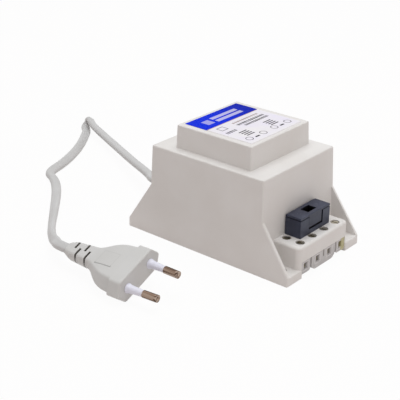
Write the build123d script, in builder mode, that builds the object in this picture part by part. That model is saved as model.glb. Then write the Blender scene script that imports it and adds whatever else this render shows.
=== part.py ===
from build123d import *
import os
from math import atan2, cos, pi, radians, sin, tan

# A potted mains transformer. Millimetres, +Z up. The origin is at the middle of the casing's
# underside. +X points to the terminal end, -X to the cord end, and the long sides face +Y and -Y.

# Laminated core, lying flat: limbs along Y, stack along Z
limb_width = 22.0
side_limb_width = 11.0
window_width = 11.0
window_height = 33.0
yoke_width = 11.0
stack_height = 34.7

# Bobbin and windings on the centre limb
limb_gap = 0.2
bobbin_wall = 1.2
flange_thickness = 1.4
window_clearance = 0.7
bobbin_end_gap = 0.3
winding_inset = 1.0
winding_corner = 4.0
tape_thickness = 0.3

# Potting compound
resin_recess = 1.0
resin_floor = 4.0

# Casing walls and the room that they leave round the core and the coil
wall = 2.8
core_gap_x = 2.1
core_gap_y = 1.4
core_gap_top = 0.7
coil_gap_x = 1.0
coil_gap_y = 6.6
coil_gap_top = 3.5
draft = 2.0
block_edge_radius = 0.8
step_edge_radius = 0.7

# Gussets and feet
gusset_height = 30.2
gusset_wall = 1.8
foot_height = 5.0
foot_edge_radius = 0.8
rear_reach = 16.3
foot_hole_diameter = 4.5
foot_hole_inset = 7.5

# Terminal shelf
shelf_height = 17.7
shelf_wall = 1.6
shelf_side_wall = 2.45
shelf_top_wall = 2.2
shelf_corner_radius = 3.0
shelf_edge_radius = 1.5
shelf_setback = 0.4
foot_lip = 2.2
window_top = 8.9
lead_notch_half = 17.0
lead_notch_bottom = 4.5
lead_notch_top = 13.5

# Terminals
pole_pitch = 10.8
pair_width = 22.0
rib_width = 0.9
rib_setback = 1.0
rib_depth = 4.0
rib_bottom = 1.0
rib_root = 0.5
pole_gap = 0.2
pole_depth = 9.2
pole_recess = 0.2
pole_bottom = 1.6
pole_corner_radius = 1.0
pair_recess = 0.1
pair_bottom = 0.4
pair_corner_radius = 4.0
port_width = 2.8
port_height = 3.4
port_chamfer = 0.4
port_axis_height = 5.6
port_wall = 1.4
clamp_side = 1.2
clamp_floor = 0.9
clamp_roof = 2.2
clamp_depth = 6.4
clamp_gap = 0.1

# Terminal screws and the wells over them
well_diameter = 5.0
well_offset = 2.0
well_edge = 4.5
screw_head_diameter = 3.9
screw_head_height = 1.9
screw_head_depth = 0.3
screw_shank_diameter = 3.0
screw_shank_length = 8.0
screw_slot_width = 0.8
screw_slot_depth = 0.8
thread_gap = 0.05

# Fuse holder
fuse_gap = 0.4
fuse_base_width = 9.8
fuse_base_length = 26.8
fuse_base_height = 10.4
fuse_wall = 1.2
fuse_cover_thickness = 1.2
fuse_tongue_width = 11.3
fuse_tongue_bottom = 4.0
fuse_tongue_near_gap = 0.15
fuse_tongue_far_gap = 1.3
fuse_tongue_end_gap = 1.3
fuse_rebate_width = 0.5
fuse_rebate_height = 0.5
fuse_view_length = 7.6
fuse_view_width = 5.3
cover_edge_radius = 0.4
fuse_length = 20.0
fuse_cap_diameter = 5.2
fuse_cap_length = 5.0
fuse_cap_wall = 0.2
fuse_cap_end = 0.4
fuse_glass_wall = 0.6
fuse_wire_diameter = 0.3
clip_thickness = 0.5
clip_width = 4.2
clip_gap = 0.05
clip_seat = 0.2
clip_mouth_angle = 120.0
tail_width = 3.0
tail_gap = 0.2
tail_drop = 2.6
fuse_block_length = 6.4
fuse_block_width = 5.6
fuse_block_height = 4.5
fuse_well_offset = 3.6

# Hook-up leads
primary_lead_diameter = 2.0
primary_lead_spacing = 3.4
secondary_lead_diameter = 1.6
lead_bend_radius = 1.2
lead_end_gap = 0.6

# Label on the step
label_margin_x = 2.6
label_margin_y = 3.6
label_thickness = 0.2

# Strain relief boot in the rear wall
boot_axis_height = 14.0
boot_length = 22.0
boot_base_radius = 5.4
boot_tip_radius = 3.5
boot_neck_radius = 4.0
boot_collar_radius = 6.0
boot_collar_thickness = 2.0
boot_gap = 0.3
boot_groove_count = 4
boot_groove_width = 1.2
boot_groove_depth = 0.8

# Mains plug, a flat two-pin form, lying rolled over on one lower edge
plug_face_x = 3.3
plug_face_y = -87.3
plug_yaw = 3.6
plug_roll = 19.7
plug_width = 35.3
plug_flat = 26.1
plug_thickness = 13.7
plug_edge_radius = 1.8
plug_face_radius = 1.0
plug_flange_length = 7.4
plug_grip_sections = (
    (plug_flange_length, 32.6, 23.6, 12.9),
    (13.0, 31.6, 22.4, 12.5),
    (18.5, 27.8, 19.6, 11.8),
    (24.0, 20.0, 14.2, 9.9),
    (30.5, 13.0, 10.0, 8.2),
)
plug_edge_share = 0.34
relief_end = 47.5
relief_taper = 4.0
relief_shoulder_size = (11.0, 8.4, 7.0)
relief_end_size = (7.6, 5.8, 5.4)
relief_core_width = 5.8
relief_core_height = 3.8
relief_slot_width = 1.3
relief_slot_overlap = 0.4
relief_far_slots = (41.7, 34.9)
relief_near_slots = (38.3, 31.5)
pin_spacing_base = 18.6
pin_spacing_tip = 17.5
pin_length = 18.6
pin_diameter = 4.0
pin_tip_radius = 1.7
pin_root = 6.0
sleeve_length = 10.0
sleeve_foot_gap = 0.1
sleeve_bore = 3.0
sleeve_foot_wall = 1.2
sleeve_foot_length = 2.0
sleeve_base_wall = 0.65
sleeve_end_wall = 0.25

# Cord: a tube as thick as the flat cord's mean, with its route chosen point by point
cord_diameter = 4.2
cord_radius = cord_diameter / 2
cord_corner_share = 0.49
cord_last_run = 8.0

slope = tan(radians(draft))

# Core and coil places
core_length = limb_width + 2 * (window_width + side_limb_width)
core_width = window_height + 2 * yoke_width
coil_reach = window_width - window_clearance
coil_width = limb_width + 2 * coil_reach
coil_height = stack_height + 2 * coil_reach
bobbin_length = window_height - 2 * bobbin_end_gap
coil_bottom = resin_recess + resin_floor
core_bottom = coil_bottom + coil_reach
core_top = core_bottom + stack_height
core_middle = (core_bottom + core_top) / 2
coil_top = coil_bottom + coil_height

# Casing block, step and ends
block_top = core_top + core_gap_top + wall
block_half_length = core_length / 2 + core_gap_x + wall
block_half_width = core_width / 2 + core_gap_y + wall
base_half_width = block_half_width + slope * block_top
step_top = coil_top + coil_gap_top + wall
step_height = step_top - block_top
step_length = coil_width + 2 * (coil_gap_x + wall)
step_width = bobbin_length + 2 * (coil_gap_y + wall)
shelf_ceiling = shelf_height - shelf_top_wall
wall_at_shelf = block_half_length + slope * (block_top - shelf_height)
front_reach = fuse_gap + fuse_base_width + well_offset + well_edge + shelf_setback
half_length = wall_at_shelf + (front_reach + rear_reach) / 2
block_x = half_length - front_reach - wall_at_shelf
bay_half_width = base_half_width - gusset_wall


def front_wall(height):
    """X of the block's drafted front wall at a height."""
    return block_x + block_half_length + slope * (block_top - height)


def rear_wall(height):
    """X of the block's drafted rear wall at a height."""
    return block_x - block_half_length - slope * (block_top - height)


# Terminal places
pole_places = [(index - 1.5) * pole_pitch for index in range(4)]
rib_place = pair_width / 2 + pole_gap + rib_width / 2
pole_width = 2 * (pole_places[-1] - rib_place - rib_width / 2 - pole_gap)
chamber_half = pole_places[-1] + pole_width / 2 + pole_gap
shelf_half = chamber_half + shelf_side_wall
shelf_front = half_length - shelf_setback
pole_front = shelf_front - pole_recess
pole_back = pole_front - pole_depth
pole_shoulder = shelf_front - shelf_wall - pole_gap
well_row_x = shelf_front - well_edge
clamp_front = pole_front - port_wall
clamp_back = clamp_front - clamp_depth
port_floor = port_axis_height - port_height / 2
port_roof = port_axis_height + port_height / 2
foot_hole_x = half_length - foot_hole_inset
foot_hole_y = (shelf_half + bay_half_width) / 2

# Fuse holder places
fuse_back = front_wall(shelf_height) + fuse_gap
fuse_x = fuse_back + fuse_base_width / 2
fuse_floor = shelf_height + fuse_wall
fuse_rim = shelf_height + fuse_base_height
fuse_axis_height = fuse_floor + clip_seat + clip_thickness + clip_gap + fuse_cap_diameter / 2
fuse_well_x = front_wall(shelf_height) + fuse_well_offset
fuse_well_y = pole_places[-1]
clip_y = fuse_length / 2 - fuse_cap_length / 2
tail_y = fuse_length / 2 - clip_thickness
tail_bottom = shelf_ceiling - tail_drop

os.makedirs("parts", exist_ok=True)


def write(part, name):
    """Label a finished piece and write its file."""
    part.label = name
    export_step(part, f"parts/{name}.step")


# Casing: one moulding, open below
step_base_length = step_length + 2 * slope * step_height
step_base_width = step_width + 2 * slope * step_height

# Open bays between the gussets at both ends, with the feet rounded at their outer edges
with BuildPart() as bays:
    with BuildSketch(Plane.XZ):
        for end_wall, side, start in ((front_wall, 1, 0), (rear_wall, -1, 90)):
            end = side * half_length
            round_x = end - side * foot_edge_radius
            round_z = foot_height - foot_edge_radius
            with BuildLine():
                Polyline(
                    (end, round_z),
                    (end, gusset_height),
                    (end_wall(gusset_height), gusset_height),
                    (end_wall(foot_height), foot_height),
                    (round_x, foot_height),
                )
                CenterArc((round_x, round_z), foot_edge_radius, start, 90)
            make_face()
    extrude(amount=base_half_width, both=True)
    # The gussets' inner sides lean with their outer sides
    bay_top_half_width = bay_half_width - slope * block_top
    with BuildSketch(Plane.YZ):
        with BuildLine():
            Polyline(
                (-bay_half_width, 0),
                (bay_half_width, 0),
                (bay_top_half_width, block_top),
                (-bay_top_half_width, block_top),
                close=True,
            )
        make_face()
    extrude(amount=2 * half_length, both=True, mode=Mode.INTERSECT)

with BuildPart() as casing:
    # Long side: feet, gusset slopes and the block between drafted end walls
    with BuildSketch(Plane.XZ):
        with BuildLine():
            Polyline(
                (-half_length, 0),
                (half_length, 0),
                (half_length, foot_height),
                (front_wall(gusset_height), gusset_height),
                (front_wall(block_top), block_top),
                (rear_wall(block_top), block_top),
                (rear_wall(gusset_height), gusset_height),
                (-half_length, foot_height),
                close=True,
            )
        make_face()
    extrude(amount=base_half_width, both=True)
    # End view: the drafted long sides
    with BuildSketch(Plane.YZ):
        with BuildLine():
            Polyline(
                (-base_half_width, 0),
                (base_half_width, 0),
                (block_half_width, block_top),
                (-block_half_width, block_top),
                close=True,
            )
        make_face()
    extrude(amount=half_length, both=True, mode=Mode.INTERSECT)
    # Moulded edges of the block and of the gussets' outer sides
    side_edges = casing.edges().filter_by(
        lambda edge: edge.center().Z > 1 and abs(edge.tangent_at(0.5).Y) < 0.5
    )
    end_edges = casing.edges().group_by(Axis.Z)[-1].filter_by(Axis.Y)
    fillet(side_edges + end_edges, radius=block_edge_radius)
    # Step that clears the top of the coil
    with BuildSketch(Plane.XY.offset(block_top)):
        with Locations((block_x, 0)):
            Rectangle(step_base_length, step_base_width)
    extrude(amount=step_height, taper=draft)
    step_edges = casing.edges().filter_by_position(Axis.Z, block_top + step_height / 4, step_top)
    fillet(step_edges, radius=step_edge_radius)
    # Bays between the gussets
    add(bays.part, mode=Mode.SUBTRACT)
    # Terminal shelf with rounded front corners
    with BuildSketch(Plane.XY) as shelf_plan:
        with Locations((front_wall(shelf_height) - wall / 2, 0)):
            Rectangle(
                shelf_front - front_wall(shelf_height) + wall / 2,
                2 * shelf_half,
                align=(Align.MIN, Align.CENTER),
            )
        fillet(shelf_plan.vertices().group_by(Axis.X)[-1], radius=shelf_corner_radius)
    extrude(amount=shelf_height)
    # Moulded edges of the shelf
    shelf_top = casing.faces().filter_by(Axis.Z).filter_by_position(
        Axis.Z, shelf_height - 0.1, shelf_height + 0.1
    )
    shelf_edges = shelf_top.edges().filter_by_position(Axis.X, front_wall(shelf_height) + 1, half_length)
    fillet(shelf_edges, radius=shelf_edge_radius)
    # Hollow for the core and the coil
    with BuildSketch(Plane.XY):
        with Locations((block_x, 0)):
            Rectangle(
                front_wall(0) - rear_wall(0) - 2 * wall,
                2 * (base_half_width - wall),
            )
    extrude(amount=block_top - wall, taper=draft, mode=Mode.SUBTRACT)
    with BuildSketch(Plane.XY.offset(block_top - wall)):
        with Locations((block_x, 0)):
            Rectangle(step_base_length - 2 * wall, step_base_width - 2 * wall)
    extrude(amount=step_height, taper=draft, mode=Mode.SUBTRACT)
    # Terminal chamber under the shelf, behind its front wall
    with BuildSketch(Plane.XZ):
        with BuildLine():
            Polyline(
                (front_wall(0), 0),
                (shelf_front - shelf_wall, 0),
                (shelf_front - shelf_wall, shelf_ceiling),
                (front_wall(shelf_ceiling), shelf_ceiling),
                close=True,
            )
        make_face()
    extrude(amount=chamber_half, both=True, mode=Mode.SUBTRACT)
    # Strip of the foot plate in front of the shelf
    with BuildSketch(Plane.XY):
        with Locations((half_length, 0)):
            Rectangle(shelf_setback, 2 * (shelf_half - foot_lip), align=(Align.MAX, Align.CENTER))
    extrude(amount=foot_height, mode=Mode.SUBTRACT)
    # Front window for the terminal bodies
    with BuildSketch(Plane.YZ.offset(shelf_front)):
        Rectangle(2 * chamber_half, window_top, align=(Align.CENTER, Align.MIN))
    extrude(amount=-shelf_wall, mode=Mode.SUBTRACT)
    # Ribs that hang between the terminal bodies, set back from their faces
    with BuildSketch(Plane.XY.offset(rib_bottom)):
        with Locations(*[(shelf_front - rib_setback, side * rib_place) for side in (-1, 1)]):
            Rectangle(rib_depth, rib_width, align=(Align.MAX, Align.CENTER))
    extrude(amount=shelf_ceiling + rib_root - rib_bottom)
    # Notch that lets the leads through the dam wall
    with BuildSketch(Plane.YZ.offset(front_wall(lead_notch_bottom))):
        with Locations((0, (lead_notch_bottom + lead_notch_top) / 2)):
            Rectangle(2 * lead_notch_half, lead_notch_top - lead_notch_bottom)
    extrude(amount=-2 * wall, mode=Mode.SUBTRACT)
    # Screw wells and the slots for the fuse clips' tails
    with BuildSketch(Plane.XY.offset(shelf_height)):
        with Locations(*[(well_row_x, place) for place in pole_places]):
            Circle(well_diameter / 2)
        with Locations((fuse_well_x, -fuse_well_y), (fuse_well_x, fuse_well_y)):
            Circle(well_diameter / 2)
        with Locations((fuse_x, -tail_y), (fuse_x, tail_y)):
            Rectangle(tail_width + 2 * tail_gap, clip_thickness + 2 * tail_gap)
    extrude(amount=-shelf_top_wall, mode=Mode.SUBTRACT)
    # Screw holes in the four feet
    with BuildSketch(Plane.XY):
        with GridLocations(2 * foot_hole_x, 2 * foot_hole_y, 2, 2):
            Circle(foot_hole_diameter / 2)
    extrude(amount=foot_height, mode=Mode.SUBTRACT)
    # Hole for the cord's boot in the rear wall
    with BuildSketch(Plane.YZ.offset(rear_wall(0))):
        with Locations((0, boot_axis_height)):
            Circle(boot_neck_radius + thread_gap)
    extrude(amount=2 * wall, mode=Mode.SUBTRACT)
write(casing.part, "casing")

# Core: E stack with its three limbs, and the I stack that closes it
with BuildPart() as core_e_stack:
    with BuildSketch(Plane.XY.offset(core_bottom)):
        with Locations((block_x, -core_width / 2)):
            Rectangle(core_length, core_width - yoke_width, align=(Align.CENTER, Align.MIN))
        window_x = (limb_width + window_width) / 2
        window_y = yoke_width - core_width / 2
        with Locations((block_x - window_x, window_y), (block_x + window_x, window_y)):
            Rectangle(window_width, window_height, align=(Align.CENTER, Align.MIN), mode=Mode.SUBTRACT)
    extrude(amount=stack_height)
write(core_e_stack.part, "core_e_stack")

with BuildPart() as core_i_stack:
    with BuildSketch(Plane.XY.offset(core_bottom)):
        with Locations((block_x, core_width / 2)):
            Rectangle(core_length, yoke_width, align=(Align.CENTER, Align.MAX))
    extrude(amount=stack_height)
write(core_i_stack.part, "core_i_stack")

# Bobbin: a square tube on the centre limb with two end flanges and a divider
tube_length_x = limb_width + 2 * (limb_gap + bobbin_wall)
tube_length_z = stack_height + 2 * (limb_gap + bobbin_wall)
chamber_length = (bobbin_length - 3 * flange_thickness) / 2
chamber_y = (chamber_length + flange_thickness) / 2
coil_plane = Plane(origin=(block_x, 0, core_middle), x_dir=(1, 0, 0), z_dir=(0, 1, 0))

with BuildPart() as bobbin:
    with BuildSketch(coil_plane):
        Rectangle(tube_length_x, tube_length_z)
    extrude(amount=bobbin_length / 2, both=True)
    for flange_y in (-bobbin_length / 2, -flange_thickness / 2, bobbin_length / 2 - flange_thickness):
        with BuildSketch(coil_plane.offset(flange_y)):
            Rectangle(coil_width, coil_height)
        extrude(amount=flange_thickness)
    with BuildSketch(coil_plane):
        Rectangle(limb_width + 2 * limb_gap, stack_height + 2 * limb_gap)
    extrude(amount=bobbin_length, both=True, mode=Mode.SUBTRACT)
write(bobbin.part, "bobbin")

winding_width = coil_width - 2 * winding_inset - 2 * tape_thickness
winding_height = coil_height - 2 * winding_inset - 2 * tape_thickness


def coil_ring(place, inner, outer, outer_radius, inner_radius=0):
    """A wound ring in one bobbin chamber, between two rectangular outlines."""
    with BuildPart() as ring:
        with BuildSketch(coil_plane.offset(place - chamber_length / 2)):
            RectangleRounded(*outer, outer_radius)
            if inner_radius:
                RectangleRounded(*inner, inner_radius, mode=Mode.SUBTRACT)
            else:
                Rectangle(*inner, mode=Mode.SUBTRACT)
        extrude(amount=chamber_length)
    return ring.part


winding_size = (winding_width, winding_height)
taped_size = (winding_width + 2 * tape_thickness, winding_height + 2 * tape_thickness)
for name, place in (("primary", -chamber_y), ("secondary", chamber_y)):
    winding = coil_ring(place, (tube_length_x, tube_length_z), winding_size, winding_corner)
    write(winding, f"{name}_winding")
    tape = coil_ring(place, winding_size, taped_size, winding_corner + tape_thickness, winding_corner)
    write(tape, f"{name}_tape")


# Leads inside the casing
def lead(points, diameter):
    """An insulated lead along the points, short of the first and the last by the end gap."""
    places = [Vector(*point) for point in points]
    places[0] += (places[1] - places[0]).normalized() * lead_end_gap
    places[-1] += (places[-2] - places[-1]).normalized() * lead_end_gap
    with BuildPart() as wire:
        with BuildLine():
            if len(places) > 2:
                FilletPolyline(*places, radius=lead_bend_radius)
            else:
                Line(*places)
        with BuildSketch(Plane(origin=places[0], z_dir=places[1] - places[0])):
            Circle(diameter / 2)
        sweep()
    return wire.part


lead_height = core_bottom - primary_lead_diameter / 2 - lead_end_gap
boot_inner = rear_wall(boot_axis_height) + wall + boot_gap + boot_collar_thickness
coil_low_x = block_x - coil_width / 2 + winding_inset
coil_high_x = block_x + coil_width / 2 - winding_inset
primary_leads = Compound(
    children=[
        lead(
            [
                (boot_inner, side * primary_lead_spacing / 2, boot_axis_height),
                (coil_low_x, side * primary_lead_spacing / 2 - chamber_y, lead_height),
            ],
            primary_lead_diameter,
        )
        for side in (-1, 1)
    ]
)
write(primary_leads, "primary_leads")

# One lead feeds the far fuse block, one joins the near block to the first pole, three feed the other poles
tap_places = [(flange_thickness + (index + 0.5) * chamber_length / 2) / 2 for index in range(4)]
tap_height = (lead_notch_bottom + lead_notch_top) / 2
tap_drop = 1.5 * secondary_lead_diameter
secondary_runs = [
    [
        (coil_high_x, tap_places[3], tap_height),
        (fuse_well_x - fuse_block_width / 2, fuse_well_y - fuse_block_length / 4, tap_height + tap_drop),
    ]
]
for tap, place in zip(tap_places, pole_places[1:]):
    secondary_runs.append(
        [(coil_high_x, tap, tap_height - tap_drop), (clamp_back, place, port_axis_height)]
    )
link_x = pole_back - secondary_lead_diameter / 2
secondary_runs.append(
    [
        (link_x, -fuse_well_y, shelf_ceiling - fuse_block_height),
        (link_x, -fuse_well_y, port_axis_height),
        (clamp_back, pole_places[0], port_axis_height),
    ]
)
secondary_leads = Compound(children=[lead(run, secondary_lead_diameter) for run in secondary_runs])
write(secondary_leads, "secondary_leads")

# Potting compound that fills the hollow round the core, the coil and the leads
with BuildPart() as potting_resin:
    with BuildSketch(Plane.XY.offset(resin_recess)):
        with Locations((block_x, 0)):
            Rectangle(
                front_wall(resin_recess) - rear_wall(resin_recess) - 2 * wall,
                2 * (base_half_width - slope * resin_recess - wall),
            )
    extrude(amount=block_top - wall - resin_recess, taper=draft)
    with BuildSketch(Plane.XY.offset(block_top - wall)):
        with Locations((block_x, 0)):
            Rectangle(step_base_length - 2 * wall, step_base_width - 2 * wall)
    extrude(amount=step_height, taper=draft)
    with BuildSketch(Plane.XY.offset(core_bottom)):
        with Locations((block_x, 0)):
            Rectangle(core_length, core_width)
    extrude(amount=stack_height, mode=Mode.SUBTRACT)
    with BuildSketch(Plane.XY.offset(coil_bottom)):
        with Locations((block_x, 0)):
            Rectangle(coil_width, bobbin_length)
    extrude(amount=coil_height, mode=Mode.SUBTRACT)
    with BuildSketch(Plane.YZ.offset(boot_inner)):
        with Locations((0, boot_axis_height)):
            Circle(boot_collar_radius)
    extrude(amount=-2 * boot_collar_thickness, mode=Mode.SUBTRACT)
    add([primary_leads, secondary_leads], mode=Mode.SUBTRACT)
write(potting_resin.part, "potting_resin")


# Terminal bodies: stepped blocks under the shelf, with a wire port and a screw bore for each pole
pocket_width = port_width + 2 * (clamp_side + clamp_gap)
pocket_bottom = port_floor - clamp_floor - clamp_gap
pocket_top = port_roof + clamp_roof + clamp_gap


def terminal_block(places, width, front, bottom, corner_radius):
    """One insulating body of the given width that carries the poles at the given places along Y."""
    side_low = (places[0] + places[-1] - width) / 2
    side_high = side_low + width
    with BuildPart() as block:
        with BuildSketch(Plane.XZ.offset(-side_high)):
            with BuildLine():
                Polyline(
                    (pole_back, bottom),
                    (front, bottom),
                    (front, window_top - pole_gap),
                    (pole_shoulder, window_top - pole_gap),
                    (pole_shoulder, shelf_ceiling),
                    (pole_back, shelf_ceiling),
                    close=True,
                )
            make_face()
        extrude(amount=side_high - side_low)
        fillet(block.edges().filter_by(Axis.X).group_by(Axis.Z)[0], radius=corner_radius)
        with BuildSketch(Plane.YZ.offset(front)):
            with Locations(*[(place, port_axis_height) for place in places]):
                Rectangle(port_width, port_height)
        extrude(amount=pole_back - front, mode=Mode.SUBTRACT)
        mouths = block.faces().filter_by(Axis.X).sort_by(Axis.X)[-1].inner_wires()
        chamfer([edge for mouth in mouths for edge in mouth.edges()], length=port_chamfer)
        with BuildSketch(Plane.YZ.offset(pole_back)):
            with Locations(*[(place, (pocket_bottom + pocket_top) / 2) for place in places]):
                Rectangle(pocket_width, pocket_top - pocket_bottom)
        extrude(amount=clamp_front - pole_back, mode=Mode.SUBTRACT)
        with BuildSketch(Plane.XY.offset(shelf_ceiling)):
            with Locations(*[(well_row_x, place) for place in places]):
                Circle(well_diameter / 2)
        extrude(amount=pocket_top - shelf_ceiling, mode=Mode.SUBTRACT)
    return block.part


pair_front = shelf_front - pair_recess
for name, place in (("near", pole_places[0]), ("far", pole_places[-1])):
    end_block = terminal_block([place], pole_width, pole_front, pole_bottom, pole_corner_radius)
    write(end_block, f"terminal_block_{name}")
pair_block = terminal_block(pole_places[1:3], pair_width, pair_front, pair_bottom, pair_corner_radius)
write(pair_block, "terminal_block_pair")

# Clamps: square sleeves round the wire ports, tapped for the screws
with BuildPart() as terminal_clamps:
    clamp_bottom = port_floor - clamp_floor
    clamp_top = port_roof + clamp_roof
    with BuildSketch(Plane.YZ.offset(clamp_back)):
        with Locations(*[(place, (clamp_bottom + clamp_top) / 2) for place in pole_places]):
            Rectangle(port_width + 2 * clamp_side, clamp_top - clamp_bottom)
        with Locations(*[(place, port_axis_height) for place in pole_places]):
            Rectangle(port_width, port_height, mode=Mode.SUBTRACT)
    extrude(amount=clamp_depth)
    with BuildSketch(Plane.XY.offset(clamp_top)):
        with Locations(*[(well_row_x, place) for place in pole_places]):
            Circle(screw_shank_diameter / 2 + thread_gap)
    extrude(amount=-clamp_roof, mode=Mode.SUBTRACT)
write(terminal_clamps.part, "terminal_clamps")

# Blocks under the shelf that take the fuse clips' tails and the two rear screws
with BuildPart() as fuse_blocks:
    with BuildSketch(Plane.XY.offset(shelf_ceiling)):
        with Locations((fuse_well_x, -fuse_well_y), (fuse_well_x, fuse_well_y)):
            Rectangle(fuse_block_width, fuse_block_length)
            Circle(screw_shank_diameter / 2 + thread_gap, mode=Mode.SUBTRACT)
    extrude(amount=-fuse_block_height)
write(fuse_blocks.part, "fuse_blocks")

# Slotted screws, backed off in the poles and run down on the fuse blocks
pole_head_bottom = shelf_height - screw_head_depth - screw_head_height
screw_places = [(well_row_x, place, pole_head_bottom) for place in pole_places]
screw_places += [(fuse_well_x, side * fuse_well_y, shelf_ceiling) for side in (-1, 1)]
with BuildPart() as terminal_screws:
    with Locations(*screw_places):
        Cylinder(
            screw_head_diameter / 2,
            screw_head_height,
            align=(Align.CENTER, Align.CENTER, Align.MIN),
        )
        Cylinder(
            screw_shank_diameter / 2,
            screw_shank_length,
            align=(Align.CENTER, Align.CENTER, Align.MAX),
        )
    with Locations(*[(x, y, z + screw_head_height) for x, y, z in screw_places]):
        Box(
            screw_head_diameter,
            screw_slot_width,
            screw_slot_depth,
            align=(Align.CENTER, Align.CENTER, Align.MAX),
            mode=Mode.SUBTRACT,
        )
write(terminal_screws.part, "terminal_screws")

# Fuse holder base: an open box with a notch in each long wall for the cover's tongues
with BuildPart() as fuse_base:
    with BuildSketch(Plane.XY.offset(shelf_height)):
        with Locations((fuse_x, 0)):
            Rectangle(fuse_base_width, fuse_base_length)
    extrude(amount=fuse_base_height)
    with BuildSketch(Plane.XY.offset(fuse_floor)):
        with Locations((fuse_x, 0)):
            Rectangle(fuse_base_width - 2 * fuse_wall, fuse_base_length - 2 * fuse_wall)
    extrude(amount=fuse_base_height, mode=Mode.SUBTRACT)
    with BuildSketch(Plane.YZ.offset(fuse_back)):
        notch_middle = (fuse_tongue_far_gap - fuse_tongue_near_gap) / 2
        with Locations((notch_middle, shelf_height + fuse_tongue_bottom - fuse_tongue_end_gap)):
            Rectangle(
                fuse_tongue_width + fuse_tongue_near_gap + fuse_tongue_far_gap,
                fuse_base_height,
                align=(Align.CENTER, Align.MIN),
            )
    extrude(amount=fuse_base_width, mode=Mode.SUBTRACT)
    with BuildSketch(Plane.XY.offset(shelf_height)):
        with Locations((fuse_x, -tail_y), (fuse_x, tail_y)):
            Rectangle(tail_width + 2 * tail_gap, clip_thickness + 2 * tail_gap)
    extrude(amount=fuse_wall, mode=Mode.SUBTRACT)
    with BuildSketch(Plane.XY.offset(fuse_rim)):
        with Locations((fuse_x, 0)):
            Rectangle(fuse_base_width, fuse_base_length)
            Rectangle(
                fuse_base_width - 2 * fuse_rebate_width,
                fuse_base_length - 2 * fuse_rebate_width,
                mode=Mode.SUBTRACT,
            )
    extrude(amount=-fuse_rebate_height, mode=Mode.SUBTRACT)
write(fuse_base.part, "fuse_base")

# Fuse cover: a plate with a viewing window and a tongue down each long side
with BuildPart() as fuse_cover:
    with BuildSketch(Plane.XY.offset(fuse_rim)):
        with Locations((fuse_x, 0)):
            Rectangle(fuse_base_width, fuse_base_length)
    extrude(amount=fuse_cover_thickness)
    fillet(fuse_cover.edges().filter_by(GeomType.LINE).group_by(Axis.Z)[-1], radius=cover_edge_radius)
    with BuildSketch(Plane.XY.offset(fuse_rim)):
        tongue_x = (fuse_base_width - fuse_wall) / 2
        with Locations((fuse_x - tongue_x, 0), (fuse_x + tongue_x, 0)):
            Rectangle(fuse_wall, fuse_tongue_width)
    extrude(amount=fuse_tongue_bottom - fuse_base_height)
    with BuildSketch(Plane.XY.offset(fuse_rim)):
        with Locations((fuse_x, 0)):
            Rectangle(fuse_view_width, fuse_view_length)
    extrude(amount=fuse_cover_thickness, mode=Mode.SUBTRACT)
write(fuse_cover.part, "fuse_cover")

# Spring clips that grip the fuse's caps, with tails through the shelf to the fuse blocks
clip_inner = fuse_cap_diameter / 2 + clip_gap
clip_outer = clip_inner + clip_thickness


def fuse_clip(side):
    """One clip: an open ring round the cap and a bent tail, on the side given by its sign."""
    ring_plane = Plane(origin=(fuse_x, side * clip_y, fuse_axis_height), x_dir=(1, 0, 0), z_dir=(0, 1, 0))
    mouth = clip_outer * tan(radians(clip_mouth_angle / 2))
    tail_end = fuse_well_y - fuse_block_length / 2
    with BuildPart() as clip:
        with BuildSketch(ring_plane):
            Circle(clip_outer)
            Circle(clip_inner, mode=Mode.SUBTRACT)
            with BuildLine():
                Polyline((0, 0), (mouth, -clip_outer), (-mouth, -clip_outer), close=True)
            make_face(mode=Mode.SUBTRACT)
        extrude(amount=clip_width / 2, both=True)
        with BuildSketch(Plane.YZ.offset(fuse_x)):
            with BuildLine():
                Polyline(
                    (side * clip_y, fuse_floor),
                    (side * (tail_y - clip_thickness / 2), fuse_floor),
                    (side * (tail_y - clip_thickness / 2), tail_bottom),
                    (side * tail_end, tail_bottom),
                    (side * tail_end, tail_bottom + clip_thickness),
                    (side * (tail_y + clip_thickness / 2), tail_bottom + clip_thickness),
                    (side * (tail_y + clip_thickness / 2), fuse_floor + clip_thickness),
                    (side * clip_y, fuse_floor + clip_thickness),
                    close=True,
                )
            make_face()
        extrude(amount=tail_width / 2, both=True)
    return clip.part


fuse_clips = Compound(children=[fuse_clip(side) for side in (-1, 1)])
write(fuse_clips, "fuse_clips")

# Glass fuse: tube, two caps and the wire between them
fuse_plane = Plane(origin=(fuse_x, 0, fuse_axis_height), x_dir=(1, 0, 0), z_dir=(0, 1, 0))
glass_radius = fuse_cap_diameter / 2 - fuse_cap_wall
glass_half = fuse_length / 2 - fuse_cap_end
with BuildPart() as fuse_glass:
    with BuildSketch(fuse_plane):
        Circle(glass_radius)
        Circle(glass_radius - fuse_glass_wall, mode=Mode.SUBTRACT)
    extrude(amount=glass_half, both=True)
write(fuse_glass.part, "fuse_glass")

with BuildPart() as fuse_caps:
    for side in (-1, 1):
        with BuildSketch(fuse_plane.offset(side * fuse_length / 2)):
            Circle(fuse_cap_diameter / 2)
        extrude(amount=-side * fuse_cap_length)
    with BuildSketch(fuse_plane):
        Circle(glass_radius)
    extrude(amount=glass_half, both=True, mode=Mode.SUBTRACT)
write(fuse_caps.part, "fuse_caps")

with BuildPart() as fuse_wire:
    with BuildSketch(fuse_plane):
        Circle(fuse_wire_diameter / 2)
    extrude(amount=glass_half, both=True)
write(fuse_wire.part, "fuse_wire")

# Label on the top of the step
with BuildPart() as rating_label:
    with BuildSketch(Plane.XY.offset(step_top)):
        with Locations((block_x, 0)):
            Rectangle(step_length - 2 * label_margin_x, step_width - 2 * label_margin_y)
    extrude(amount=label_thickness)
write(rating_label.part, "rating_label")

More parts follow.
